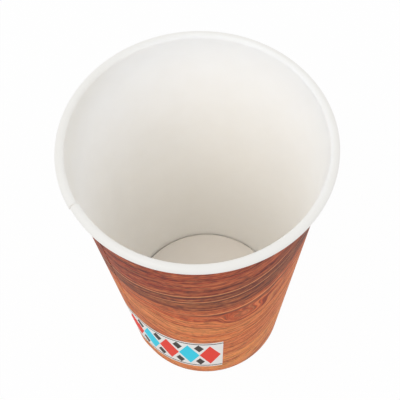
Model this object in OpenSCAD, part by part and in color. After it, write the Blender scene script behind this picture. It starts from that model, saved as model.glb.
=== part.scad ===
// Paper hot cup: a wrapped and lapped board sidewall with a rolled rim, and a bottom disc held in its hem.
// The cup stands on z = 0 about the Z axis. Sections are drawn in X (radius) and Y (height).

/* [Cup] */
// Outside diameter across the rolled rim
rim_d = 80; // [70:1:95]
// Outside diameter of the foot
foot_d = 55; // [46:1:62]
// Overall height
cup_h = 115; // [80:1:150]

/* [Board] */
// Thickness of the sidewall board
wall_t = 0.4; // [0.3:0.05:0.6]
// Thickness of the bottom board
disc_t = 0.35; // [0.25:0.05:0.5]
// Clearance left for the seal on each side of the disc flange
seal_gap = 0.03; // [0.02:0.01:0.06]

/* [Rolled rim] */
// Outside diameter of the roll
roll_d = 2.8; // [2.4:0.1:4]
// Opening left between the cut edge of the roll and the wall
roll_gap = 0.2; // [0.1:0.05:0.4]

/* [Side seam] */
// Width of the overlap at the rim
lap_w = 6.5; // [4:0.5:12]
// Direction of the inner cut edge, anticlockwise from +X
seam_deg = 207.5; // [0:0.5:360]
// Share of the board that heat and pressure take out of the overlap
seam_squeeze = 0.2; // [0.15:0.05:0.35]

/* [Bottom] */
// Height of the upper face of the disc above the foot
disc_z = 5; // [4:0.25:10]
// Outside radius of the bend at the edge of the disc
bend_r = 0.8; // [0.6:0.1:1.2]
// Distance from the underside of the disc to the edge of the hem
hem_gap = 0.7; // [0.6:0.1:1.5]

/* [Hidden] */
$fn = 96;
roll_r = roll_d / 2;
foot_r = foot_d / 2;
// Height by which the roll stands proud of the wall face that runs into it
proud = 0.02;
// Centre of the roll, and the lean of a wall whose inner face runs into it smoothly
roll_at = [rim_d / 2 - roll_r, cup_h - roll_r];
reach = roll_at - [foot_r, 0];
lean = atan2(reach[0], reach[1]) - asin((roll_r - proud - wall_t) / norm(reach));
up = [sin(lean), cos(lean)];
inward = [-cos(lean), sin(lean)];
// One turn of the blank winds outward by one pressed board, measured level
pitch = (1 - seam_squeeze) * wall_t / cos(lean);
lap_deg = lap_w / (rim_d / 2) * 180 / PI;
// Room in the hem for the round flange of the disc and for the winding of the wall
slot = disc_t + 2 * seal_gap + pitch * cos(lean);
wall_top = reach * up;
hem_z = disc_z - disc_t - hem_gap;
// Turn by which the roll runs down into the wall, and turn that stays open below its cut edge
root_deg = acos(1 - proud / (roll_r - wall_t / 2));
open_deg = acos(1 - (proud + wall_t + roll_gap) / roll_r);

// Distance up the wall at which a given depth from its outer face is at a given height
function rise(depth, z) = (z - depth * sin(lean)) / cos(lean);

// Point at a depth from the outer face and a distance up the wall
function on_wall(depth, s) = [foot_r, 0] + depth * inward + s * up;

// Point at a depth from the outer face and a height
function at_height(depth, z) = on_wall(depth, rise(depth, z));

// Winds a section once round the cup: half turns about two centres half a pitch apart
module wind() {
    for (half = [0:1])
        rotate(seam_deg + 180 * half)
            translate([-pitch / 4, 0, 0])
                rotate_extrude(angle = 180)
                    translate([(half - 0.5) * pitch / 2, 0])
                        children();
}

// Points of a rounded fold about a centre
function fold(centre, r, from, to) = [
    for (i = [0:6])
        centre + r * [cos(from + (to - from) * i / 6), sin(from + (to - from) * i / 6)]
];

// Corners of the wall, from the fold at the foot up to the roll
low = rise(wall_t, wall_t);
outer_face = [on_wall(0, wall_top), on_wall(0, low)];
inner_face = [on_wall(wall_t, low), on_wall(wall_t, wall_top)];

// Ring of board rolled over the rim, open below its cut edge
module roll_section(r) {
    start = 180 - lean + root_deg;
    turns = [0, (open_deg - root_deg) / 2, open_deg - root_deg];
    translate(roll_at)
        difference() {
            circle(r);
            circle(r - wall_t);
            polygon(concat([[0, 0]], [
                for (a = turns)
                    2 * roll_d * [cos(start + a), sin(start + a)]
            ]));
        }
}

// Wall with its lower edge turned in under the disc flange and up behind it
module hem_section() {
    heel = at_height(wall_t + slot, wall_t);
    tip = rise(wall_t + slot, hem_z);
    polygon(concat(
        outer_face,
        fold(inner_face[0], wall_t, -lean, -90),
        fold(heel, wall_t, -90, -180 - lean),
        [on_wall(2 * wall_t + slot, tip), on_wall(wall_t + slot, tip), heel],
        inner_face
    ));
}

// Wrapped blank: one turn with its rolled rim and hem, then the overlap outside the start of the turn
module sidewall() {
    color("#c07a4c")
        union() {
            wind() {
                hem_section();
                roll_section(roll_r);
            }
            rotate(seam_deg)
                translate([-pitch / 4, 0, 0])
                    rotate_extrude(angle = lap_deg)
                        lap_section();
        }
}

// Overlap: a second wall outside the first, its roll nested in the first one
module lap_section() {
    translate([pitch * 3 / 4, 0])
        polygon(concat(outer_face, inner_face));
    translate([-pitch / 4, 0])
        roll_section(roll_r - pitch * cos(lean));
}

// Round of board with its edge bent down into the hem
module bottom_disc() {
    color("#e4dfd6")
        rotate_extrude()
            disc_section();
}

// Disc, bend and flange, set against the innermost part of the wound wall
module disc_section() {
    face = wall_t + seal_gap + pitch / 2 * cos(lean);
    bend = at_height(face + bend_r, disc_z - bend_r);
    edge = rise(face, wall_t + seal_gap);
    polygon(concat(
        [[0, disc_z]],
        fold(bend, bend_r, 90, -lean),
        [on_wall(face, edge), on_wall(face + disc_t, edge)],
        fold(bend, bend_r - disc_t, -lean, 90),
        [[0, disc_z - disc_t]]
    ));
}

sidewall();
bottom_disc();
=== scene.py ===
"""Looks of a paper hot cup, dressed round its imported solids.

The cup is two boards. The sidewall is a printed blank that is wound once round, lapped down one side,
rolled outward at the top and turned in at the foot. The bottom disc is held in that turned-in hem.
Sizes are in millimetres and become metres where a mesh is made. Only the lamps are placed in metres.
"""

import logging
import math
from collections.abc import Callable
from dataclasses import dataclass
from enum import Enum
from functools import partial

import bpy
from mathutils import Matrix, Vector


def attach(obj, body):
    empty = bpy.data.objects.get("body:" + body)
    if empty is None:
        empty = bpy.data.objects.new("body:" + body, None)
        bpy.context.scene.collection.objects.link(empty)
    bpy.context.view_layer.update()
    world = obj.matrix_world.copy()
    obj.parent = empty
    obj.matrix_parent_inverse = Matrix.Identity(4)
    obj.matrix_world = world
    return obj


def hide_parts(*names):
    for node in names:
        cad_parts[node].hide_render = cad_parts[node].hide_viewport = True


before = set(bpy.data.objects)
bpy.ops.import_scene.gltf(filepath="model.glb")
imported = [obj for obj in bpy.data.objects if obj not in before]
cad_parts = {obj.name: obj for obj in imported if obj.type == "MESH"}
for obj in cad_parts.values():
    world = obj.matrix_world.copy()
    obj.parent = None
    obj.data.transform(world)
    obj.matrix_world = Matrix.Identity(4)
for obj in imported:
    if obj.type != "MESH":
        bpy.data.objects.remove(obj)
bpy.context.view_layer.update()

LOG = logging.getLogger("paper_cup")
MM = 0.001
UV_NAME = "UVMap"
WHITE = (1.0, 1.0, 1.0, 1.0)
# Edges that bend more than this stay sharp.
CREASE = math.radians(35)
# Points of a section that are nearer than this are one point.
TOUCH = 1e-4
# Place in the order of a section that no chord has.
NO_CHORD = -9.0
# Strength and depth of the relief of pressed fibre, a faint unevenness in the gloss.
RELIEF = 0.08
RELIEF_MM = 0.02
# Kinds of node that are used most, and the setting of a soft step between two values.
MATH = "ShaderNodeMath"
VECTOR = "ShaderNodeVectorMath"
COMBINE = "ShaderNodeCombineXYZ"
MAP = "ShaderNodeMapRange"
COMPARE = "FunctionNodeCompare"
SOFT = {"interpolation_type": "SMOOTHSTEP"}

Point = tuple[float, float]
Triple = tuple[float, float, float]
Tree = bpy.types.NodeTree
Node = bpy.types.Node
Socket = bpy.types.NodeSocket
Source = Node | Socket
Adder = Callable[..., Node]


def linear(code: str) -> tuple[float, float, float, float]:
    """Turn an sRGB hex colour into linear values.

    Args:
        code: Colour such as "#c8b090".

    Returns:
        Linear red, green, blue and an alpha of 1.
    """
    parts = [int(code[i : i + 2], 16) / 255 for i in (1, 3, 5)]
    return (*(c / 12.92 if c <= 0.04045 else ((c + 0.055) / 1.055) ** 2.4 for c in parts), 1.0)


def add_node(tree: Tree, kind: str, inputs: dict | list | None = None, **settings: object) -> Node:
    """Add a node with its settings, values and links.

    Args:
        tree: Tree that takes the node.
        kind: Blender's name of the node type.
        inputs: Values or sources, in order or by name or index. A node gives its first output.
        **settings: Properties of the node.

    Returns:
        The node.
    """
    made = tree.nodes.new(kind)
    for name, value in settings.items():
        setattr(made, name, value)
    pairs = inputs.items() if isinstance(inputs, dict) else enumerate(inputs or [])
    for key, value in pairs:
        source = value.outputs[0] if isinstance(value, Node) else value
        if isinstance(source, Socket):
            tree.links.new(source, made.inputs[key])
        else:
            made.inputs[key].default_value = source
    return made


def add_object(name: str, data: bpy.types.ID) -> bpy.types.Object:
    """Make an object and link it to the scene.

    Args:
        name: Name of the object.
        data: Its mesh, curve, lamp or camera.

    Returns:
        The object.
    """
    made = bpy.data.objects.new(name, data)
    bpy.context.scene.collection.objects.link(made)
    return made


def add_material(name: str, **numbers: float) -> tuple[bpy.types.Material, Tree, Node]:
    """Make a material with its even numbers.

    Args:
        name: Name of the real finish.
        **numbers: Numbers of the shader that are the same all over, with _ for a space in a name.

    Returns:
        The material, its tree and its shader.
    """
    made = bpy.data.materials.new(name)
    made.use_nodes = True
    shader = made.node_tree.nodes["Principled BSDF"]
    for key, value in numbers.items():
        shader.inputs[key.replace("_", " ")].default_value = value
    return made, made.node_tree, shader


def add_clouds(tree: Tree, shader: Node, tones: tuple[str, str], cloud_mm: float, detail: float) -> None:
    """Colour a finish in soft clouds of two close tones.

    Args:
        tree: Tree of the material.
        shader: Its shader.
        tones: The two colours.
        cloud_mm: Size of a cloud.
        detail: Detail of the noise.
    """
    place = add_node(tree, "ShaderNodeTexCoord").outputs["Object"]
    scale = 1 / (cloud_mm * MM)
    cloud = add_node(tree, "ShaderNodeTexNoise", {"Vector": place, "Scale": scale, "Detail": detail})
    mix = {0: cloud.outputs["Fac"], 6: linear(tones[0]), 7: linear(tones[1])}
    tone = add_node(tree, "ShaderNodeMix", mix, data_type="RGBA")
    tree.links.new(tone.outputs[2], shader.inputs["Base Color"])


def add_relief(tree: Tree, shader: Node, grain_mm: float) -> None:
    """Give a finish the relief of pressed fibre.

    Args:
        tree: Tree of the material.
        shader: Its shader.
        grain_mm: Size of the grain.
    """
    place = add_node(tree, "ShaderNodeTexCoord").outputs["Object"]
    scale = 1 / (grain_mm * MM)
    grain = add_node(tree, "ShaderNodeTexNoise", {"Vector": place, "Scale": scale, "Detail": 2.0})
    relief = {"Height": grain.outputs["Fac"], "Strength": RELIEF, "Distance": RELIEF_MM * MM}
    bump = add_node(tree, "ShaderNodeBump", relief)
    tree.links.new(bump.outputs["Normal"], shader.inputs["Normal"])


def arc(centre: Point, r: float, start: float, end: float, steps: int) -> list[Point]:
    """List points of an arc.

    Args:
        centre: Middle of the arc.
        r: Its radius.
        start: First angle in degrees.
        end: Last angle in degrees.
        steps: Number of chords.

    Returns:
        The points, ends included.
    """
    turns = [math.radians(start + (end - start) * i / steps) for i in range(steps + 1)]
    return [(centre[0] + r * math.cos(t), centre[1] + r * math.sin(t)) for t in turns]


def run(a: Point, b: Point, steps: int) -> list[Point]:
    """List points along a straight run from a to b, ends included."""
    return [(a[0] + (b[0] - a[0]) * i / steps, a[1] + (b[1] - a[1]) * i / steps) for i in range(steps + 1)]


@dataclass(frozen=True)
class CupSizes:
    """Sizes of the cup in millimetres, as its solids have them."""

    rim_d: float = 80.0
    foot_d: float = 55.0
    height: float = 115.0
    wall: float = 0.4
    disc: float = 0.35
    seal: float = 0.03
    roll_d: float = 2.8
    roll_gap: float = 0.2
    proud: float = 0.02
    lap: float = 6.5
    seam_deg: float = 207.5
    squeeze: float = 0.2
    disc_z: float = 5.0
    bend_r: float = 0.8
    hem_gap: float = 0.7

    @property
    def roll_at(self) -> Point:
        """Radius and height of the middle of the roll."""
        return self.rim_d / 2 - self.roll_d / 2, self.height - self.roll_d / 2

    @property
    def roll_r(self) -> float:
        """Outside radius of the roll, with the wall's inner face running into it smoothly."""
        return self.roll_d / 2 - self.proud

    @property
    def lean(self) -> float:
        """Lean of the wall in radians, so that its inner face runs into the roll."""
        out, rise = self.roll_at[0] - self.foot_d / 2, self.roll_at[1]
        return math.atan2(out, rise) - math.asin((self.roll_r - self.wall) / math.hypot(out, rise))

    @property
    def pitch(self) -> float:
        """Distance by which one turn of the blank winds outward."""
        return (1 - self.squeeze) * self.wall / math.cos(self.lean)

    @property
    def slot(self) -> float:
        """Room in the hem for the flange of the disc."""
        return self.disc + 2 * self.seal + self.pitch * math.cos(self.lean)

    @property
    def lap_turn(self) -> float:
        """Overlap of the seam as a share of one turn."""
        return self.lap / (math.pi * self.rim_d)

    def rise(self, depth: float, z: float) -> float:
        """Distance up the wall at which a depth from its outer face is at a height."""
        return (z - depth * math.sin(self.lean)) / math.cos(self.lean)

    def on_wall(self, depth: float, up: float) -> Point:
        """Find a point of the section of the wall.

        Args:
            depth: Distance inward from the outer face.
            up: Distance up the wall from the foot.

        Returns:
            Radius and height.
        """
        s, c = math.sin(self.lean), math.cos(self.lean)
        return self.foot_d / 2 - depth * c + up * s, depth * s + up * c

    def at_height(self, depth: float, z: float) -> Point:
        """Find the point at a depth from the outer face and a height."""
        return self.on_wall(depth, self.rise(depth, z))


@dataclass(frozen=True)
class CoatedBoard:
    """White cup board with a thin film of polymer, pressed smooth.

    It is a soft satin white, and the fibre under the film gives it a faint cloudiness.
    """

    name: str = "coated_white_board"
    pale: str = "#f9f8f5"
    cloud: str = "#f6f4ef"
    cloud_mm: float = 7.0
    cloud_detail: float = 3.0
    grain_mm: float = 0.5
    roughness: float = 0.32
    ior: float = 1.5

    def material(self) -> bpy.types.Material:
        """Build the material.

        Returns:
            The material.
        """
        made, tree, shader = add_material(self.name, Roughness=self.roughness, IOR=self.ior)
        add_clouds(tree, shader, (self.pale, self.cloud), self.cloud_mm, self.cloud_detail)
        add_relief(tree, shader, self.grain_mm)
        return made


@dataclass(frozen=True)
class CutBoard:
    """Cut edge of the board: bare pressed fibre, matt and creamier than the coated face."""

    name: str = "cut_board_edge"
    pale: str = "#ebe5d8"
    dark: str = "#cfc3ac"
    fibre_mm: float = 0.15
    fibre_detail: float = 4.0
    roughness: float = 0.8
    ior: float = 1.48

    def material(self) -> bpy.types.Material:
        """Build the material.

        Returns:
            The material.
        """
        made, tree, shader = add_material(self.name, Roughness=self.roughness, IOR=self.ior)
        add_clouds(tree, shader, (self.pale, self.dark), self.fibre_mm, self.fibre_detail)
        return made


class Mark(Enum):
    """Shapes that a printed panel is made of, by how the distances across and up are joined."""

    BLOCK = "MAXIMUM"
    LOZENGE = "ADD"


@dataclass(frozen=True)
class Patch:
    """One printed shape.

    Its middle and its size are in degrees from the seam's inner cut edge and in millimetres.
    """

    at: Point
    size: Point
    ink: str
    mark: Mark = Mark.BLOCK


def lozenge_panel(middle: Point = (34.2, 23.0), size: Point = (74.6, 30.4)) -> tuple[Patch, ...]:
    """Lay out a white panel with a row of lozenges between two rules.

    Args:
        middle: Angle from the seam in degrees and height in millimetres.
        size: Width in degrees and height in millimetres.

    Returns:
        The shapes, the lowest first.
    """
    white, red, turquoise, dark = "#f4f3f0", "#f23d2c", "#2fdaf5", "#3d342d"
    count, height, spare = 5, 23.0, 0.2
    pitch = size[0] / (count + spare)
    rule, inset = 0.9, 1.6
    small, beside = (6.5, 8.8), 8.4
    shapes = [Patch(middle, size, white)]
    for i in range(count):
        at = (middle[0] + pitch * (i - (count - 1) / 2), middle[1])
        shapes.append(Patch(at, (pitch, height), turquoise if i % 2 else red, Mark.LOZENGE))
    for side in (-1, 1):
        shapes.append(Patch((middle[0], middle[1] + side * (size[1] / 2 - inset)), (size[0], rule), dark))
        for i in range(count - 1):
            at = (middle[0] + pitch * (i - (count - 2) / 2), middle[1] + side * beside)
            shapes.append(Patch(at, small, dark, Mark.LOZENGE))
    return tuple(shapes)


@dataclass(frozen=True)
class Knot:
    """Place where the grain dips round a knot: angle from the seam, height, half sizes, depth and tail.

    The tail is how many times longer the knot is on the side away from the seam.
    """

    at: Point
    size: Point
    depth: float
    tail: float = 1.0


@dataclass(frozen=True)
class Figure:
    """Figure of the wood that runs with the grain.

    Its length and width are in millimetres. Its inks have a strength in young and in old wood, and reach
    full strength over a spread of the noise.
    """

    length: float
    width: float
    detail: float = 2.0
    dark: str = "#000000"
    pale: str = "#ffffff"
    young: float = 0.0
    old: float = 0.0
    spread: float = 0.2


@dataclass(frozen=True)
class WoodPrint:
    """Wood grain printed on coated board under a satin varnish: flat to the touch, with its figure in ink.

    Angles are in degrees from the seam's inner cut edge. A level is a height in millimetres with the rise
    of the grain taken off it.
    """

    name: str = "wood_grain_print"
    girth: float = 207.4
    # Broad tones by level, from the young wood at the foot to the old wood at the rim.
    stains: tuple[tuple[float, str], ...] = (
        (0.0, "#fa944c"), (5.0, "#e67f40"), (8.0, "#ffa24c"), (11.5, "#dd7038"), (15.0, "#ffa048"),
        (19.0, "#f58c42"), (23.0, "#d96a36"), (26.5, "#f58a44"), (34.0, "#dc6e3a"),
        (48.0, "#ec7c38"), (61.0, "#d65a2c"), (71.0, "#cf5b2f"), (77.0, "#782d1f"),
        (84.0, "#7d2d20"), (91.0, "#9e3926"), (115.0, "#ad4128"),
    )
    # Angle and rise of the grain low and high on the cup, and the heights where one becomes the other.
    low_flow: tuple[Point, ...] = (
        (0.0, 14.0), (22.5, 9.0), (32.5, 6.5), (42.5, 2.6), (52.5, 0.7), (62.5, 0.0), (72.5, 0.0),
        (82.5, 1.0), (92.5, 3.0), (102.5, 7.0), (112.5, 12.0), (135.0, 15.0), (170.0, 8.0),
        (210.0, -3.0), (255.0, -5.0), (300.0, 6.0), (330.0, 15.5), (345.0, 16.5), (360.0, 14.0),
    )
    top_flow: tuple[Point, ...] = (
        (0.0, -5.5), (17.5, -4.6), (32.5, -2.6), (52.5, -0.8), (62.5, 0.0), (72.5, 1.0),
        (82.5, 2.4), (92.5, 5.0), (105.5, 9.4), (130.0, 14.0), (165.0, 11.0), (205.0, 2.0),
        (250.0, -5.0), (300.0, -2.0), (335.0, -6.0), (360.0, -5.5),
    )
    flow_range: Point = (-10.0, 20.0)
    flow_seam: Point = (58.0, 82.0)
    # The grain bends as far out as the reach, and growth lines fade across the calm, both in half sizes.
    knots: tuple[Knot, ...] = (
        Knot((80.5, 61.0), (4.5, 4.4), 8.0, 2.0),
        Knot((240.0, 40.0), (8.0, 6.0), 9.5),
    )
    knot_reach: float = 2.4
    knot_calm: Point = (0.8, 2.2)
    # Level and half width of the growth lines that stand out. The upper ones have a shade below them.
    lines: tuple[Point, ...] = (
        (87.8, 0.55), (82.6, 0.5), (70.2, 0.75), (57.0, 0.75), (51.5, 0.5), (47.0, 0.65),
        (13.0, 0.7),
    )
    line_ink: str = "#f0a36c"
    line_strength: float = 0.8
    line_shade: str = "#5c3529"
    shade_from: float = 65.0
    shade_drop: float = 1.8
    shade_width: float = 1.6
    fade: Figure = Figure(30.0, 7.0, 1.0)
    fade_range: Point = (0.36, 0.54)
    # The grain wavers by up to the swing to each side.
    waver: Figure = Figure(28.0, 8.0)
    swing: float = 2.2
    # Broad bands, streaks, fine fibre, flecks and pores. Pores are drawn coarser than real ones, to show.
    layers: tuple[Figure, ...] = (
        Figure(95.0, 5.0, 3.0, "#83351f", "#f4a45c", 0.5, 0.5, 0.22),
        Figure(70.0, 3.4, 2.0, "#b9502a", "#ffab62", 0.55, 0.0, 0.1),
        Figure(45.0, 1.5, 4.0, "#722413", "#dc7c48", 0.6, 0.55, 0.12),
        Figure(40.0, 2.6, 4.0, "#3a231e", "#c06238", 0.2, 0.72, 0.15),
        Figure(60.0, 1.1, 3.0, "#541d0f", "#f0a062", 0.38, 0.6, 0.1),
        Figure(6.0, 0.9, 3.0, "#5a2212", "#f0a468", 0.36, 0.55, 0.16),
        Figure(2.0, 0.8, 1.0, "#45302c", "#ee8a58", 0.3, 0.45, 0.12),
    )
    noise_roughness: float = 0.6
    # Levels between which young wood becomes old, noise where the pale and the dark ink start, and the most
    # that the pale ink has in old wood, as shares of the layer's strengths in young and old wood.
    ageing: Point = (58.0, 80.0)
    ink_starts: Point = (0.48, 0.52)
    pale_shares: Point = (0.6, 0.5)
    grain_mm: float = 0.6
    roughness: float = 0.55
    ior: float = 1.45
    specular: float = 0.12

    def material(self, sizes: CupSizes, patches: tuple[Patch, ...]) -> bpy.types.Material:
        """Build the material.

        Args:
            sizes: Sizes of the cup.
            patches: Blocks and marks printed over the wood, the lowest first.

        Returns:
            The material.
        """
        numbers = {"Roughness": self.roughness, "IOR": self.ior, "Specular_IOR_Level": self.specular}
        made, tree, shader = add_material(self.name, **numbers)
        add = partial(add_node, tree)
        uv = add("ShaderNodeUVMap", uv_map=UV_NAME)
        parts = add("ShaderNodeSeparateXYZ", [uv.outputs["UV"]]).outputs
        turn = add(MATH, [parts["X"]], operation="FRACT")
        up = add(MATH, [parts["Y"], sizes.height], operation="MULTIPLY")
        clear, level, calm = self._level(add, turn, up)
        # The noises lie on a cylinder, so that the print meets itself at the seam.
        angle = add(MATH, [turn, math.tau], operation="MULTIPLY")
        radius = self.girth / math.tau
        across = []
        for kind in ("COSINE", "SINE"):
            side = add(MATH, [angle], operation=kind)
            across.append(add(MATH, [side, radius], operation="MULTIPLY"))
        flow = add(COMBINE, [*across, level])
        shake = self._noise(add, flow, self.waver)
        swing = add(MAP, {"Value": shake, "To Min": -self.swing, "To Max": self.swing}, clamp=False)
        grain = add(MATH, [level, swing], operation="ADD")
        wood = self._figure(add, grain, add(COMBINE, [*across, grain]))
        wood = self._lines(add, clear, flow, calm, wood)
        ink = self._panel(add, turn, up, wood, patches)
        tree.links.new(ink, shader.inputs["Base Color"])
        add_relief(tree, shader, self.grain_mm)
        return made

    def _level(self, add: Adder, turn: Source, up: Source) -> tuple[Node, Node, list[Node]]:
        """Find the level of the grain, and dip it round the knots.

        Args:
            add: Adds a node to the material.
            turn: Share of a turn from the seam.
            up: Height in millimetres.

        Returns:
            The level without knots, the level with them, and for each knot a mask that is 1 away from it.
        """
        low, high = self.flow_range
        start, end = self.flow_seam
        change = add(MAP, {"Value": up, "From Min": start, "From Max": end}, **SOFT)
        flows = {2: self._flow(add, turn, self.low_flow), 3: self._flow(add, turn, self.top_flow)}
        share = add("ShaderNodeMix", {0: change, **flows})
        rise = add(MATH, [share, high - low, low], operation="MULTIPLY_ADD")
        clear = level = add(MATH, [up, rise], operation="SUBTRACT")
        along = add(MATH, [turn, self.girth], operation="MULTIPLY")
        place = add(COMBINE, [along, up])
        calm = []
        for knot in self.knots:
            middle = (knot.at[0] / 360 * self.girth, knot.at[1], 0.0)
            off = add(VECTOR, [place, middle], operation="SUBTRACT")
            sides = add("ShaderNodeSeparateXYZ", [off]).outputs
            wide, tall = knot.size
            near, far, above = (
                add(MATH, [sides[axis], 1 / span], operation="MULTIPLY")
                for axis, span in (("X", -wide), ("X", wide * knot.tail), ("Y", tall))
            )
            even = add(COMBINE, [add(MATH, [near, far], operation="MAXIMUM"), above])
            away = add(VECTOR, [even], operation="LENGTH").outputs["Value"]
            ease = {"Value": away, "From Min": self.knot_calm[0], "From Max": self.knot_calm[1]}
            calm.append(add(MAP, ease, **SOFT))
            bowl = {"Value": away, "From Max": self.knot_reach, "To Min": knot.depth, "To Max": 0.0}
            dip = add(MAP, bowl, interpolation_type="SMOOTHERSTEP")
            level = add(MATH, [level, dip], operation="ADD")
        return clear, level, calm

    def _flow(self, add: Adder, turn: Source, stops: tuple[Point, ...]) -> Node:
        """Draw the height by which the grain rises round the cup.

        Args:
            add: Adds a node to the material.
            turn: Share of a turn from the seam.
            stops: Angle and rise in millimetres.

        Returns:
            The rise as a share of the range of the flow.
        """
        low, high = self.flow_range
        curve = add("ShaderNodeFloatCurve", {"Value": turn})
        points = curve.mapping.curves[0].points
        for _ in stops[2:]:
            points.new(0.5, 0.5)
        for point, (angle, rise) in zip(points, stops, strict=True):
            point.location = (angle / 360, (rise - low) / (high - low))
        curve.mapping.update()
        return curve

    def _figure(self, add: Adder, grain: Source, lanes: Source) -> Socket:
        """Draw the stains of the wood and its figure, each layer in a dark and a pale ink.

        Args:
            add: Adds a node to the material.
            grain: Level of the grain with its waver.
            lanes: Place in the wood, with that level as its height.

        Returns:
            The colour.
        """
        top = self.stains[-1][0]
        ramp = add("ShaderNodeValToRGB", [add(MATH, [grain, 1 / top], operation="MULTIPLY")])
        for _ in self.stains[2:]:
            ramp.color_ramp.elements.new(0.5)
        for stop, (at, code) in zip(ramp.color_ramp.elements, self.stains, strict=True):
            stop.position = at / top
            stop.color = linear(code)
        colour = ramp.outputs["Color"]
        pale_start, dark_start = self.ink_starts
        ages = {"Value": grain, "From Min": self.ageing[0], "From Max": self.ageing[1]}
        for layer in self.layers:
            noise = self._noise(add, lanes, layer)
            pale_old = min(self.pale_shares[0] * layer.young, self.pale_shares[1] * layer.old)
            inks = (
                (layer.dark, layer.old, dark_start, dark_start + layer.spread),
                (layer.pale, pale_old, pale_start, pale_start - layer.spread),
            )
            for ink, old, start, end in inks:
                share = add(MAP, {**ages, "To Min": layer.young, "To Max": old}, **SOFT)
                reach = {"Value": noise, "From Min": start, "From Max": end, "To Max": share}
                mask = add(MAP, reach, **SOFT)
                mix = {0: mask, 6: colour, 7: linear(ink)}
                colour = add("ShaderNodeMix", mix, data_type="RGBA").outputs[2]
        return colour

    def _lines(self, add: Adder, clear: Source, flow: Source, calm: list[Node], colour: Socket) -> Socket:
        """Draw the pale growth lines, which fade along their length and at the knots.

        Args:
            add: Adds a node to the material.
            clear: Level of the grain without knots.
            flow: Place in the wood, with the level as its height.
            calm: Masks that are 1 away from the knots.
            colour: Colour under the lines.

        Returns:
            The colour with the lines on it.
        """
        fade = self._noise(add, flow, self.fade)
        low, high = self.fade_range
        most = self.line_strength
        shown = add(MAP, {"Value": fade, "From Min": low, "From Max": high, "To Max": most}, **SOFT)
        for outside in calm:
            shown = add(MATH, [shown, outside], operation="MULTIPLY")
        for at, half in self.lines:
            inks = [(self.line_ink, at, half)]
            if at > self.shade_from:
                inks.insert(0, (self.line_shade, at - self.shade_drop * half, self.shade_width * half))
            for ink, centre, reach in inks:
                off = add(MATH, [clear, centre], operation="SUBTRACT")
                away = add(MATH, [off], operation="ABSOLUTE")
                line = add(MAP, {"Value": away, "From Max": reach, "To Min": 1.0, "To Max": 0.0}, **SOFT)
                mask = add(MATH, [line, shown], operation="MULTIPLY")
                mix = {0: mask, 6: colour, 7: linear(ink)}
                colour = add("ShaderNodeMix", mix, data_type="RGBA").outputs[2]
        return colour

    def _noise(self, add: Adder, place: Source, layer: Figure) -> Socket:
        """Draw a noise that is stretched along the grain.

        Args:
            add: Adds a node to the material.
            place: Place in the wood in millimetres, with the level of the grain as its height.
            layer: Length, width and detail of the figure.

        Returns:
            The noise, about 0.5.
        """
        scale = (1 / layer.length, 1 / layer.length, 1 / layer.width)
        even = add(VECTOR, [place, scale], operation="MULTIPLY")
        inputs = {"Vector": even, "Scale": 1.0, "Detail": layer.detail, "Roughness": self.noise_roughness}
        return add("ShaderNodeTexNoise", inputs).outputs["Fac"]

    def _panel(
        self, add: Adder, turn: Source, up: Source, under: Socket, patches: tuple[Patch, ...]
    ) -> Socket:
        """Print blocks and marks over the wood.

        Args:
            add: Adds a node to the material.
            turn: Share of a turn from the seam.
            up: Height in millimetres.
            under: Colour that the panel is printed on.
            patches: Blocks and marks, the lowest first.

        Returns:
            The colour with the panel on it.
        """
        whole = add(MATH, [turn, 360.0], operation="MULTIPLY")
        angle = add(MATH, [whole, 180.0, -180.0], operation="WRAP")
        for patch in patches:
            shares = []
            for value, at, size in zip((angle, up), patch.at, patch.size, strict=True):
                off = add(MATH, [value, at], operation="SUBTRACT")
                away = add(MATH, [off], operation="ABSOLUTE")
                shares.append(add(MATH, [away, 2 / size], operation="MULTIPLY"))
            reach = add(MATH, shares, operation=patch.mark.value)
            mask = add(MATH, [reach, 1.0], operation="LESS_THAN")
            mix = {0: mask, 6: under, 7: linear(patch.ink)}
            under = add("ShaderNodeMix", mix, data_type="RGBA").outputs[2]
        return under


class Face(Enum):
    """Faces of the sidewall board, by the finish that they show."""

    LINING = "lining"
    PRINT = "print"
    CUT = "cut"


@dataclass(frozen=True)
class Wrap:
    """One stretch of the winding, with its ends in turns and how far out they lie in millimetres."""

    name: str
    start: float
    end: float
    inner: float
    outer: float
    overlap: bool = False


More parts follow.
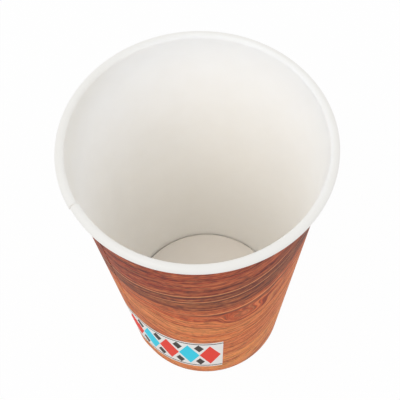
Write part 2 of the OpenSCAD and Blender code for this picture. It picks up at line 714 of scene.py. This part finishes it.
@dataclass
class Sidewall:
    """Printed board wound once round, with its rolled rim, lapped seam and hem."""

    sizes: CupSizes = CupSizes()
    lining: CoatedBoard = CoatedBoard()
    edge: CutBoard = CutBoard()
    wood: WoodPrint = WoodPrint()
    panel: tuple[Patch, ...] = lozenge_panel()
    steps: int = 720
    wall_chords: int = 16
    roll_chords: int = 40
    roll_back_chords: int = 24
    fold_chords: int = 6
    hem_chords: int = 8
    hem_back_chords: int = 2
    knurls: int = 120
    knurl_depth: float = 0.04
    # The outer end of the blank is pressed in, from a share of the overlap on.
    pressed: float = 0.2
    pressed_from: float = 0.15
    # The rim narrows in the last degrees before the overlap.
    tuck: float = 1.0

    def section(self, overlap: bool) -> tuple[list[Point], list[Face]]:
        """Trace the section of the board, from the foot of its inner face up, over the roll and back down.

        Args:
            overlap: Whether this is the overlap, which has a nested roll and no hem.

        Returns:
            The points, and the face that the chord after each point belongs to.
        """
        z = self.sizes
        nested = z.pitch if overlap else 0.0
        lean = math.degrees(z.lean)
        foot = z.rise(z.wall, z.wall)
        low = z.on_wall(z.wall, foot)
        roll = (z.roll_at[0] - nested, z.roll_at[1])
        top = (roll[0] - z.foot_d / 2) * math.sin(z.lean) + roll[1] * math.cos(z.lean)
        outer = z.roll_r - nested * math.cos(z.lean)
        opening = math.degrees(math.acos(1 - (z.wall + z.roll_gap) / outer))
        start, end = 180 - lean, opening - 180 - lean
        lines = [
            (run(low, z.on_wall(z.wall, top), self.wall_chords), Face.LINING, Face.LINING),
            (arc(roll, outer, start, end, self.roll_chords), Face.LINING, Face.CUT),
            (arc(roll, outer - z.wall, end, start, self.roll_back_chords), Face.PRINT, Face.PRINT),
            (run(z.on_wall(0, top), z.on_wall(0, foot), self.wall_chords), Face.PRINT, Face.PRINT),
        ]
        if not overlap:
            heel = z.at_height(z.wall + z.slot, z.wall)
            tip = z.rise(z.wall + z.slot, z.disc_z - z.disc - z.hem_gap)
            deep = 2 * z.wall + z.slot
            turned = arc(heel, z.wall, -90, -180 - lean, self.fold_chords)
            back = z.on_wall(z.wall + z.slot, tip)
            lines += [
                (arc(low, z.wall, -lean, -90, self.fold_chords), Face.PRINT, Face.PRINT),
                (turned, Face.PRINT, Face.PRINT),
                (run(turned[-1], z.on_wall(deep, tip), self.hem_chords), Face.PRINT, Face.CUT),
                (run(back, heel, self.hem_back_chords), Face.LINING, Face.LINING),
            ]
        points: list[Point] = []
        faces: list[Face] = []
        for line, body, last in lines:
            for i, point in enumerate(line):
                if points and math.dist(points[-1], point) < TOUCH:
                    faces[-1] = body
                    continue
                points.append(point)
                faces.append(last if i == len(line) - 1 else body)
        return points, faces

    def _curve(self, name: str, points: list[Point]) -> bpy.types.Object:
        """Draw a section as a closed curve, across from the foot and down, as a sweep takes it.

        Args:
            name: Name of the curve.
            points: Radius and height of each point.

        Returns:
            The curve object.
        """
        data = bpy.data.curves.new(name, "CURVE")
        data.dimensions = "3D"
        spline = data.splines.new("POLY")
        spline.points.add(len(points) - 1)
        for target, (r, z) in zip(spline.points, points, strict=True):
            target.co = ((r - self.sizes.foot_d / 2) * MM, -z * MM, 0.0, 1.0)
        spline.use_cyclic_u = True
        return add_object(name, data)

    def _values(self, wrap: Wrap, faces: list[Face]) -> dict[str, float]:
        """Work out the sizes that the tree takes.

        Args:
            wrap: Stretch of the winding.
            faces: Face that each chord of its section belongs to.

        Returns:
            The value of each input by its name.
        """
        z = self.sizes
        foot = z.foot_d / 2
        # Half a step more at each end sets the end planes square to the seam.
        half = 0.5 / self.steps
        # The faces of a chord have the order of its middle.
        cuts = [i + 0.5 for i, face in enumerate(faces) if face is Face.CUT] + [NO_CHORD]
        inked = [i + 0.5 for i, face in enumerate(faces) if face is Face.PRINT]
        slack = 0.3
        return {
            "Start Radius": (foot + wrap.inner) * MM,
            "End Radius": (foot + wrap.outer) * MM,
            "Turns": wrap.end - wrap.start + 2 * half,
            "Start Turn": wrap.start - half,
            "Seam": math.radians(z.seam_deg) + (wrap.start - half) * math.tau,
            "Height": z.height * MM,
            "Print From": inked[0] - slack,
            "Print To": inked[-1] + slack,
            "Roll Cut": cuts[0],
            "Hem Cut": cuts[1],
            "Hem From": cuts[1] - self.hem_chords,
            "Knurls": float(self.knurls),
            "Knurl Depth": self.knurl_depth * MM,
            "Sink": -self.pressed * MM if wrap.overlap else 0.0,
            "Sink From": self.pressed_from,
            "Tuck From": 1 - self.tuck / 360,
            "Tuck To": 1 - self.tuck / 2 / 360,
            "Tuck Shrink": 0.0 if wrap.overlap else -z.pitch * math.cos(z.lean) / z.roll_r,
            "Tuck Shift": 0.0 if wrap.overlap else -z.pitch * MM,
            "Roll Radius": (z.roll_at[0] + z.pitch / 2) * MM,
            "Roll Height": z.roll_at[1] * MM,
            "Roll Floor": (z.height - 2 * z.roll_d) * MM,
        }

    def _tree(self, sizes: list[str], finishes: list[str]) -> tuple[Tree, dict[str, str]]:
        """Build the tree that winds a section round the cup.

        Args:
            sizes: Names of its inputs for sizes.
            finishes: Names of its inputs for materials.

        Returns:
            The tree, and the identifier of each input by its name.
        """
        tree = bpy.data.node_groups.new("wound_board", "GeometryNodeTree")
        add = partial(add_node, tree)
        kinds = {"Section": "Object", "Steps": "Int"}
        kinds |= dict.fromkeys(sizes, "Float") | dict.fromkeys(finishes, "Material")
        names = {}
        for name, kind in kinds.items():
            socket = tree.interface.new_socket(name, in_out="INPUT", socket_type=f"NodeSocket{kind}")
            names[name] = socket.identifier
        tree.interface.new_socket("Board", in_out="OUTPUT", socket_type="NodeSocketGeometry")
        given = add("NodeGroupInput").outputs
        board, along, order = self._sweep(tree, given)
        turn = add(MATH, [along, given["Turns"], given["Start Turn"]], operation="MULTIPLY_ADD")
        board = self._pressed(add, given, board, along, turn, order)

        # The map runs round the turn and up the cup.
        spot = add("GeometryNodeInputPosition")
        height = add("ShaderNodeSeparateXYZ", [spot]).outputs["Z"]
        share = add(MATH, [height, given["Height"]], operation="DIVIDE")
        mapped = {"Geometry": board, "Name": UV_NAME, "Value": add(COMBINE, [turn, share])}
        board = add("GeometryNodeStoreNamedAttribute", mapped, data_type="FLOAT2", domain="CORNER")
        board = add("GeometryNodeSetShadeSmooth", {"Geometry": board}, domain="FACE")
        bend = add("GeometryNodeInputMeshEdgeAngle")
        sharp = add(COMPARE, [bend, CREASE], data_type="FLOAT", operation="GREATER_THAN")
        creases = {"Geometry": board, "Selection": sharp, "Shade Smooth": False}
        board = add("GeometryNodeSetShadeSmooth", creases, domain="EDGE")
        aim = add(COMBINE, {2: given["Seam"]})
        board = add("GeometryNodeTransform", {"Geometry": board, "Rotation": aim})
        board = add("GeometryNodeRealizeInstances", [board])
        add("NodeGroupOutput", [self._dressed(add, given, board, order)])
        return tree, names

    def _sweep(self, tree: Tree, given: dict[str, Socket]) -> tuple[Node, Socket, Socket]:
        """Sweep the section along its winding.

        Args:
            tree: Tree of the board.
            given: Inputs of the tree.

        Returns:
            The swept board, the share of its length and the order in its section.
        """
        add = partial(add_node, tree)
        radii = {name: given[name] for name in ("Start Radius", "End Radius")}
        winding = {"Resolution": given["Steps"], "Rotations": given["Turns"], "Height": 0.0}
        rail = add("GeometryNodeCurveSpiral", {**winding, **radii, "Reverse": True})
        upright = add("GeometryNodeSetCurveNormal", [rail], mode="Z_UP")
        length = add("GeometryNodeSplineParameter")
        drawn = add("GeometryNodeObjectInfo", {"Object": given["Section"]})
        index = add("GeometryNodeInputIndex")
        kept = {}
        for name, curve, value in (
            ("Along", upright.outputs[0], length.outputs["Factor"]),
            ("Order", drawn.outputs["Geometry"], index.outputs[0]),
        ):
            kept[name] = add("GeometryNodeCaptureAttribute", [curve], domain="POINT")
            kept[name].capture_items.new("FLOAT", name)
            tree.links.new(value, kept[name].inputs[name])
        curves = {"Curve": kept["Along"], "Profile Curve": kept["Order"], "Fill Caps": True}
        swept = add("GeometryNodeCurveToMesh", curves)
        return swept, kept["Along"].outputs["Along"], kept["Order"].outputs["Order"]

    def _between(self, add: Adder, order: Socket, start: Socket, end: Socket) -> Node:
        """Choose the chords between two places in the section.

        Args:
            add: Adds a node to the tree.
            order: Order in the section.
            start: Place before the first chord.
            end: Place after the last chord.

        Returns:
            The choice.
        """
        past, until = (
            add(COMPARE, [order, place], data_type="FLOAT", operation=test)
            for place, test in ((start, "GREATER_THAN"), (end, "LESS_THAN"))
        )
        return add("FunctionNodeBooleanMath", [past, until], operation="AND")

    def _pressed(
        self, add: Adder, given: dict[str, Socket], board: Node, along: Socket, turn: Node, order: Socket
    ) -> Node:
        """Press the swept board: ribs in its hem, its outer end sunk in, and the rim of that end tucked.

        Args:
            add: Adds a node to the tree.
            given: Inputs of the tree.
            board: Swept board.
            along: Share of its length.
            turn: Turns from the seam.
            order: Order in the section.

        Returns:
            The pressed board.
        """
        spot = add("GeometryNodeInputPosition")
        height = add("ShaderNodeSeparateXYZ", [spot]).outputs["Z"]
        flat = add(VECTOR, [spot, (1.0, 1.0, 0.0)], operation="MULTIPLY")
        outward = add(VECTOR, [flat], operation="NORMALIZE")

        # A knurled roller presses upright ribs into the inside of the hem.
        beat = add(MATH, [turn, given["Knurls"]], operation="MULTIPLY")
        rib = add(MATH, [add(MATH, [beat, math.tau], operation="MULTIPLY")], operation="SINE")
        press = add(MAP, {"Value": rib, "From Min": -1.0, "To Min": given["Knurl Depth"], "To Max": 0.0})
        shift = add(VECTOR, {0: outward, "Scale": press}, operation="SCALE")
        inside = self._between(add, order, given["Hem From"], given["Hem Cut"])
        board = add("GeometryNodeSetPosition", {"Geometry": board, "Selection": inside, "Offset": shift})

        # Heat and pressure sink the outer end of the blank into the board below it.
        depth = add(MAP, {"Value": along, "From Min": given["Sink From"], "To Max": given["Sink"]}, **SOFT)
        lower = add(VECTOR, {0: outward, "Scale": depth}, operation="SCALE")
        board = add("GeometryNodeSetPosition", {"Geometry": board, "Offset": lower})

        # The rim of the outer end narrows and tucks into the roll of the inner end.
        start, end = given["Tuck From"], given["Tuck To"]
        tuck = add(MAP, {"Value": along, "From Min": start, "From Max": end}, **SOFT)
        shrink = add(MATH, [tuck, given["Tuck Shrink"]], operation="MULTIPLY")
        shove = add(MATH, [tuck, given["Tuck Shift"]], operation="MULTIPLY")
        radius = add(VECTOR, [flat], operation="LENGTH").outputs["Value"]
        out = add(MATH, [radius, given["Roll Radius"]], operation="SUBTRACT")
        high = add(MATH, [height, given["Roll Height"]], operation="SUBTRACT")
        inward = add(MATH, [out, shrink, shove], operation="MULTIPLY_ADD")
        drop = add(COMBINE, {2: add(MATH, [high, shrink], operation="MULTIPLY")})
        slide = add(VECTOR, [outward, inward, drop], operation="MULTIPLY_ADD")
        rolled = add(COMPARE, [height, given["Roll Floor"]], data_type="FLOAT", operation="GREATER_THAN")
        return add("GeometryNodeSetPosition", {"Geometry": board, "Selection": rolled, "Offset": slide})

    def _dressed(self, add: Adder, given: dict[str, Socket], board: Node, order: Socket) -> Node:
        """Give each finish its chords of the section.

        Args:
            add: Adds a node to the tree.
            given: Inputs of the tree.
            board: Bare board.
            order: Order in the section.

        Returns:
            The dressed board.
        """
        printed = self._between(add, order, given["Print From"], given["Print To"])
        cuts = []
        for name in ("Roll Cut", "Hem Cut"):
            chord = {0: order, 1: given[name], "Epsilon": 0.1}
            cuts.append(add(COMPARE, chord, data_type="FLOAT", operation="EQUAL"))
        ends = add("FunctionNodeBooleanMath", cuts, operation="OR")
        # The caps are the only faces with more than four corners.
        corners = add("GeometryNodeInputMeshFaceNeighbors").outputs["Vertex Count"]
        cap = add(COMPARE, {2: corners, 3: 4}, data_type="INT", operation="GREATER_THAN")
        board = add("GeometryNodeSetMaterial", {"Geometry": board, "Material": given["Lining"]})
        for mask, finish in ((printed, "Print"), (ends, "Cut"), (cap, "End")):
            dress = {"Geometry": board, "Selection": mask, "Material": given[finish]}
            board = add("GeometryNodeSetMaterial", dress)
        return board

    def build(self) -> bpy.types.Object:
        """Build the sidewall: one full turn of the blank, and the overlap that goes on past its start.

        Returns:
            The sidewall as one mesh.
        """
        half = self.sizes.pitch / 2
        wraps = (
            Wrap("turn", 0.0, 1.0, -half, half),
            Wrap("lap", 1.0, 1.0 + self.sizes.lap_turn, half, half, overlap=True),
        )
        ink = self.wood.material(self.sizes, self.panel)
        cut = self.edge.material()
        finishes = {"Print": ink, "Lining": self.lining.material(), "Cut": cut, "End": cut}
        sections = [self.section(wrap.overlap) for wrap in wraps]
        values = [self._values(wrap, faces) for wrap, (_, faces) in zip(wraps, sections, strict=True)]
        tree, names = self._tree(list(values[0]), list(finishes))
        boards = []
        for wrap, (points, _), sizes in zip(wraps, sections, values, strict=True):
            curve = self._curve(f"{wrap.name}_section", points)
            holder = add_object(f"{wrap.name}_wrap", bpy.data.meshes.new(f"{wrap.name}_wrap"))
            wind = holder.modifiers.new("wind", "NODES")
            wind.node_group = tree
            # Ink covers the pressed outer end of the blank, and the inner end shows the bare board.
            finishes["End"] = ink if wrap.overlap else cut
            for key, value in {"Section": curve, "Steps": self.steps, **sizes, **finishes}.items():
                wind[names[key]] = value
            graph = bpy.context.evaluated_depsgraph_get()
            mesh = bpy.data.meshes.new_from_object(holder.evaluated_get(graph))
            bpy.data.objects.remove(holder)
            bpy.data.objects.remove(curve)
            boards.append(add_object("lap_board" if wrap.overlap else "sidewall_board", mesh))
        with bpy.context.temp_override(active_object=boards[0], selected_editable_objects=boards):
            bpy.ops.object.join()
        return boards[0]


@dataclass
class BottomDisc:
    """Round of board with its edge bent down into the hem."""

    sizes: CupSizes = CupSizes()
    # The disc's two tones are darker than the wall board's: painted shade, standing in for the shade deep
    # in the cup.
    board: CoatedBoard = CoatedBoard("coated_white_board_disc", "#dfdbd6", "#dbd6d0")
    steps: int = 360
    flat_chords: int = 8
    bend_chords: int = 10
    bend_back_chords: int = 6
    # The flat faces are divided between a radius and a distance from the bend.
    hub_r: float = 4.0
    shoulder: float = 1.0

    def section(self) -> list[Point]:
        """Trace the section from the middle of the upper face round to the middle of the lower one.

        Returns:
            Radius and height of each point.
        """
        z = self.sizes
        face = z.wall + z.seal + z.pitch / 2 * math.cos(z.lean)
        bend = z.at_height(face + z.bend_r, z.disc_z - z.bend_r)
        edge = z.rise(face, z.wall + z.seal)
        lean = math.degrees(z.lean)
        side = bend[0] - self.shoulder
        under = z.disc_z - z.disc
        return [
            *run((self.hub_r, z.disc_z), (side, z.disc_z), self.flat_chords),
            *arc(bend, z.bend_r, 90, -lean, self.bend_chords),
            z.on_wall(face, edge),
            z.on_wall(face + z.disc, edge),
            *arc(bend, z.bend_r - z.disc, -lean, 90, self.bend_back_chords),
            *run((side, under), (self.hub_r, under), self.flat_chords),
        ]

    def build(self) -> bpy.types.Object:
        """Build the disc by turning its section about the axis.

        Returns:
            The disc as a closed mesh.
        """
        section = self.section()
        count = len(section)
        turns = [math.tau * i / self.steps for i in range(self.steps)]
        spots = [(r * math.cos(t) * MM, r * math.sin(t) * MM, z * MM) for t in turns for r, z in section]
        faces: list[tuple[int, ...]] = []
        for i in range(self.steps):
            a, b = i * count, (i + 1) % self.steps * count
            faces += [(a + j, a + j + 1, b + j + 1, b + j) for j in range(count - 1)]
        for j in (0, count - 1):
            middle = len(spots)
            spots.append((0.0, 0.0, section[j][1] * MM))
            for i in range(self.steps):
                a, b = i * count + j, (i + 1) % self.steps * count + j
                faces.append((a, b, middle) if j == 0 else (b, a, middle))
        mesh = bpy.data.meshes.new("bottom_disc_board")
        mesh.from_pydata(spots, [], faces)
        mesh.shade_smooth()
        mesh.set_sharp_from_angle(angle=CREASE)
        mesh.materials.append(self.board.material())
        return add_object("bottom_disc_board", mesh)


@dataclass(frozen=True)
class Lamp:
    """Round soft lamp: its place and aim in metres, width, power, colour and beam in degrees."""

    name: str
    at: Triple
    aim: Triple
    size: float
    watts: float
    colour: Triple = (1.0, 1.0, 1.0)
    beam: float = 180.0


@dataclass
class Studio:
    """Pale floor, soft lamps and the camera."""

    sizes: CupSizes = CupSizes()
    lens_px: float = 963.8811
    frame_px: float = 400.0
    sensor_mm: float = 36.0
    clip_m: float = 0.01
    elevation: float = 60.9855
    roll: float = -3.3298
    # Where the middle of the foot lies from the camera: right, up and ahead, in radii of the rim.
    offset: Triple = (0.0595, -0.9875, 9.2479)
    floor_mm: float = 3000.0
    floor_paper: str = "#f2f2f2"
    floor_roughness: float = 0.9
    # Share of plain white in what is seen of the floor. The rest shows the shadow.
    floor_white: float = 0.97
    ambient: float = 0.84
    lamps: tuple[Lamp, ...] = (
        Lamp("key", (-0.5, -0.4, 1.05), (0.0, 0.0, 0.07), 0.5, 1.2),
        # Two weak lamps in the mouth of the cup open up its shade.
        Lamp("mouth_wide", (-0.004, 0.0, 0.117), (0.38, 0.3, -1.0), 0.044, 0.0046, (0.67, 0.77, 1.0)),
        Lamp("mouth_deep", (0.0, 0.0, 0.117), (0.16, 0.2, -1.0), 0.06, 0.0049, (1.0, 0.86, 0.67), 72.0),
    )

    def floor(self) -> bpy.types.Object:
        """Lay the floor, white to the camera with a trace of the cup's shadow.

        Returns:
            The floor.
        """
        half = self.floor_mm / 2 * MM
        corners = [(-half, -half, 0), (half, -half, 0), (half, half, 0), (-half, half, 0)]
        mesh = bpy.data.meshes.new("floor")
        mesh.from_pydata(corners, [], [(0, 1, 2, 3)])
        paper, tree, shader = add_material("white_sweep_paper", Roughness=self.floor_roughness)
        shader.inputs["Base Color"].default_value = linear(self.floor_paper)
        seen = self._seen(tree)
        share = add_node(tree, MATH, [seen, self.floor_white], operation="MULTIPLY")
        glow = add_node(tree, "ShaderNodeEmission", {"Color": WHITE, "Strength": 1.0})
        mix = add_node(tree, "ShaderNodeMixShader", [share, shader, glow])
        tree.links.new(mix.outputs[0], tree.nodes["Material Output"].inputs["Surface"])
        mesh.materials.append(paper)
        return add_object("floor", mesh)

    def _seen(self, tree: Tree) -> Node:
        """Find the rays that see the background straight, in gloss or through glass.

        Args:
            tree: Tree of the floor or the world.

        Returns:
            1 for these rays and 0 for others.
        """
        path = add_node(tree, "ShaderNodeLightPath").outputs
        indirect = [path["Is Glossy Ray"], path["Is Transmission Ray"]]
        mirror = add_node(tree, MATH, indirect, operation="MAXIMUM")
        return add_node(tree, MATH, [path["Is Camera Ray"], mirror], operation="MAXIMUM")

    def light(self) -> None:
        """Set the white surround and the soft lamps."""
        world = bpy.data.worlds.new("white_room")
        world.use_nodes = True
        tree = world.node_tree
        back = tree.nodes["Background"]
        back.inputs["Color"].default_value = WHITE
        levels = {"Value": self._seen(tree), "To Min": self.ambient, "To Max": 1.0}
        level = add_node(tree, MAP, levels)
        tree.links.new(level.outputs[0], back.inputs["Strength"])
        bpy.context.scene.world = world
        for lamp in self.lamps:
            data = bpy.data.lights.new(lamp.name, "AREA")
            data.shape = "DISK"
            data.size = lamp.size
            data.energy = lamp.watts
            data.color = lamp.colour
            data.spread = math.radians(lamp.beam)
            turn = (Vector(lamp.aim) - Vector(lamp.at)).to_track_quat("-Z", "Y").to_matrix().to_4x4()
            add_object(lamp.name, data).matrix_world = Matrix.Translation(lamp.at) @ turn

    def camera(self) -> None:
        """Set the camera where the photograph was taken from."""
        tilt, roll = math.radians(self.elevation), math.radians(self.roll)
        ahead = Vector((0.0, math.cos(tilt), -math.sin(tilt)))
        level = Vector((1.0, 0.0, 0.0))
        rise = Vector((0.0, math.sin(tilt), math.cos(tilt)))
        right = math.cos(roll) * level + math.sin(roll) * rise
        up = -math.sin(roll) * level + math.cos(roll) * rise
        across, high, deep = (share * self.sizes.rim_d / 2 for share in self.offset)
        spot = -(across * right + high * up + deep * ahead) * MM
        lens = bpy.data.cameras.new("camera")
        lens.sensor_fit = "HORIZONTAL"
        lens.sensor_width = self.sensor_mm
        lens.lens = self.lens_px * self.sensor_mm / self.frame_px
        lens.clip_start = self.clip_m
        made = add_object("camera", lens)
        turn = Matrix((right, up, -ahead)).transposed()
        made.matrix_world = Matrix.Translation(spot) @ turn.to_4x4()
        bpy.context.scene.camera = made


def main() -> None:
    """Build the cup and its stage."""
    logging.basicConfig(level=logging.INFO, format="%(name)s: %(message)s")
    bpy.context.scene.view_settings.view_transform = "Standard"
    studio = Studio()
    studio.camera()
    for piece, node, slot in (
        (Sidewall().build(), "sidewall", "printed_board"),
        (BottomDisc().build(), "bottom_disc", "white_board"),
    ):
        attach(piece, "root")
        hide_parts(node)
        LOG.info("%s has %d faces", piece.name, len(piece.data.polygons))
    studio.floor()
    studio.light()


if __name__ == "__main__":
    main()
